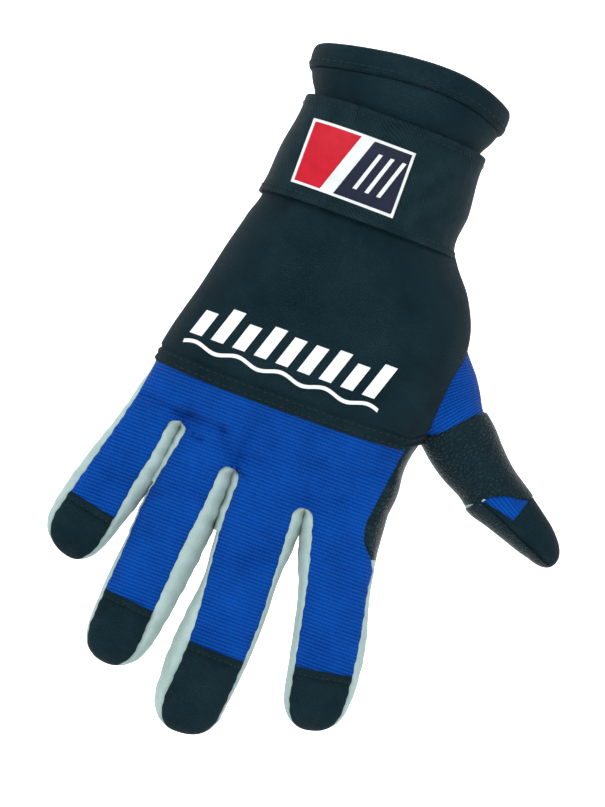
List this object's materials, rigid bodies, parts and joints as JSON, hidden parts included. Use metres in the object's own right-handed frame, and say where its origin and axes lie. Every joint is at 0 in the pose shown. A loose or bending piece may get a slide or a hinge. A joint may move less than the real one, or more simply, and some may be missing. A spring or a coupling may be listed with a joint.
{
  "type": "sailing glove",
  "caption": "Right-hand full-finger sailing glove with a long neoprene cuff, hook-and-loop wrist strap, stretch-knit finger backs, suede finger sides and palm, and a padded thumb wrap.",
  "frame": {"origin": "centre of the wrist opening, level with its sides", "axes": "+Z out of the opening along the forearm, fingers towards -Z; -Y out of the back of the hand, +Y out of the palm; +X towards the thumb"},
  "size_m": [0.1679, 0.051, 0.2466],
  "materials": {
    "neoprene": "knitted black neoprene",
    "knit": "fine ribbed stretch knit, blue",
    "suede": "synthetic suede, pale grey-green",
    "grip": "pebbled synthetic leather, black",
    "webbing": "woven elastic, black",
    "pile": "hook and loop, black",
    "label": "flexible moulded label, red, navy and white",
    "print": "printed marks, white"
  },
  "bodies": {
    "cuff": {"cuff_back": "neoprene", "cuff_palm": "neoprene", "cuff_hem": "neoprene", "wrist_elastic": "webbing", "strap_base": "webbing", "loop_patch": "pile"},
    "strap": {"strap_band": "webbing", "strap_label": "label"},
    "strap_end": {"strap_tab": "webbing", "hook_patch": "pile"},
    "hand": {"back_panel": "neoprene", "back_hem": "neoprene", "back_print": "print", "knuckle_panel": "knit", "crotch_gussets": "suede", "palm_panel": "suede", "palm_patch": "grip", "heel_patch": "grip", "index_side_patch": "grip", "thumb_gusset": "knit", "thumb_root_patch": "grip"},
    "little_root": {"little_back": "knit", "little_palm": "suede", "little_sides": "suede"},
    "little_tip": {"little_tip_back": "knit", "little_tip_cap": "neoprene", "little_tip_palm": "suede", "little_tip_sides": "suede"},
    "ring_root": {"ring_back": "knit", "ring_palm": "suede", "ring_sides": "suede"},
    "ring_tip": {"ring_tip_back": "knit", "ring_tip_cap": "neoprene", "ring_tip_palm": "suede", "ring_tip_sides": "suede"},
    "middle_root": {"middle_back": "knit", "middle_palm": "suede", "middle_sides": "suede"},
    "middle_tip": {"middle_tip_back": "knit", "middle_tip_cap": "neoprene", "middle_tip_palm": "suede", "middle_tip_sides": "suede"},
    "index_root": {"index_back": "knit", "index_palm": "suede", "index_sides": "suede"},
    "index_tip": {"index_tip_back": "knit", "index_tip_cap": "neoprene", "index_tip_palm": "suede", "index_tip_sides": "suede"},
    "thumb_root": {"thumb_wrap": "grip", "thumb_base_palm": "grip"},
    "thumb_tip": {"thumb_tip_window": "knit", "thumb_tip_cap": "neoprene", "thumb_tip_pad": "grip", "thumb_tip_sides": "suede"}
  },
  "joints": [
    {"name": "wrist", "type": "hinge", "parent": "cuff", "child": "hand", "pos_m": [0, 0.0225, -0.06], "axis": [1, 0, 0], "range_deg": [0, 35]},
    {"name": "little_knuckle", "type": "hinge", "parent": "hand", "child": "little_root", "pos_m": [-0.0454, 0.0095, -0.141], "axis": [0.9781, 0, -0.2079], "range_deg": [0, 80]},
    {"name": "little_middle", "type": "hinge", "parent": "little_root", "child": "little_tip", "pos_m": [-0.05038, 0.0095, -0.16442], "axis": [0.9781, 0, -0.2079], "range_deg": [0, 80]},
    {"name": "ring_knuckle", "type": "hinge", "parent": "hand", "child": "ring_root", "pos_m": [-0.0238, 0.0095, -0.145], "axis": [0.9962, 0, -0.0872], "range_deg": [0, 80]},
    {"name": "ring_middle", "type": "hinge", "parent": "ring_root", "child": "ring_tip", "pos_m": [-0.02684, 0.0095, -0.17973], "axis": [0.9962, 0, -0.0872], "range_deg": [0, 80]},
    {"name": "middle_knuckle", "type": "hinge", "parent": "hand", "child": "middle_root", "pos_m": [0.0012, 0.0095, -0.152], "axis": [0.9998, 0, -0.0175], "range_deg": [0, 80]},
    {"name": "middle_middle", "type": "hinge", "parent": "middle_root", "child": "middle_tip", "pos_m": [0.00054, 0.0095, -0.18979], "axis": [0.9998, 0, -0.0175], "range_deg": [0, 80]},
    {"name": "index_knuckle", "type": "hinge", "parent": "hand", "child": "index_root", "pos_m": [0.0298, 0.0095, -0.155], "axis": [0.9863, 0, 0.165], "range_deg": [0, 80]},
    {"name": "index_middle", "type": "hinge", "parent": "index_root", "child": "index_tip", "pos_m": [0.03483, 0.0095, -0.18503], "axis": [0.9863, 0, 0.165], "range_deg": [0, 80]},
    {"name": "thumb_knuckle", "type": "hinge", "parent": "hand", "child": "thumb_root", "pos_m": [0.05271, 0.01188, -0.1158], "axis": [0.4717, 0.5, 0.7263], "range_deg": [0, 35]},
    {"name": "thumb_end", "type": "hinge", "parent": "thumb_root", "child": "thumb_tip", "pos_m": [0.07284, 0.01188, -0.12887], "axis": [0.4717, 0.5, 0.7263], "range_deg": [0, 50]},
    {"name": "strap_lift", "type": "hinge", "parent": "cuff", "child": "strap", "pos_m": [-0.03165, -0.00785, -0.021], "axis": [-0.1299, 0, -0.9915], "range_deg": [0, 140]},
    {"name": "strap_peel", "type": "hinge", "parent": "strap", "child": "strap_end", "pos_m": [0.024, -0.01895, -0.021], "axis": [0, -0.0282, -0.9996], "range_deg": [0, 110]}
  ]
}
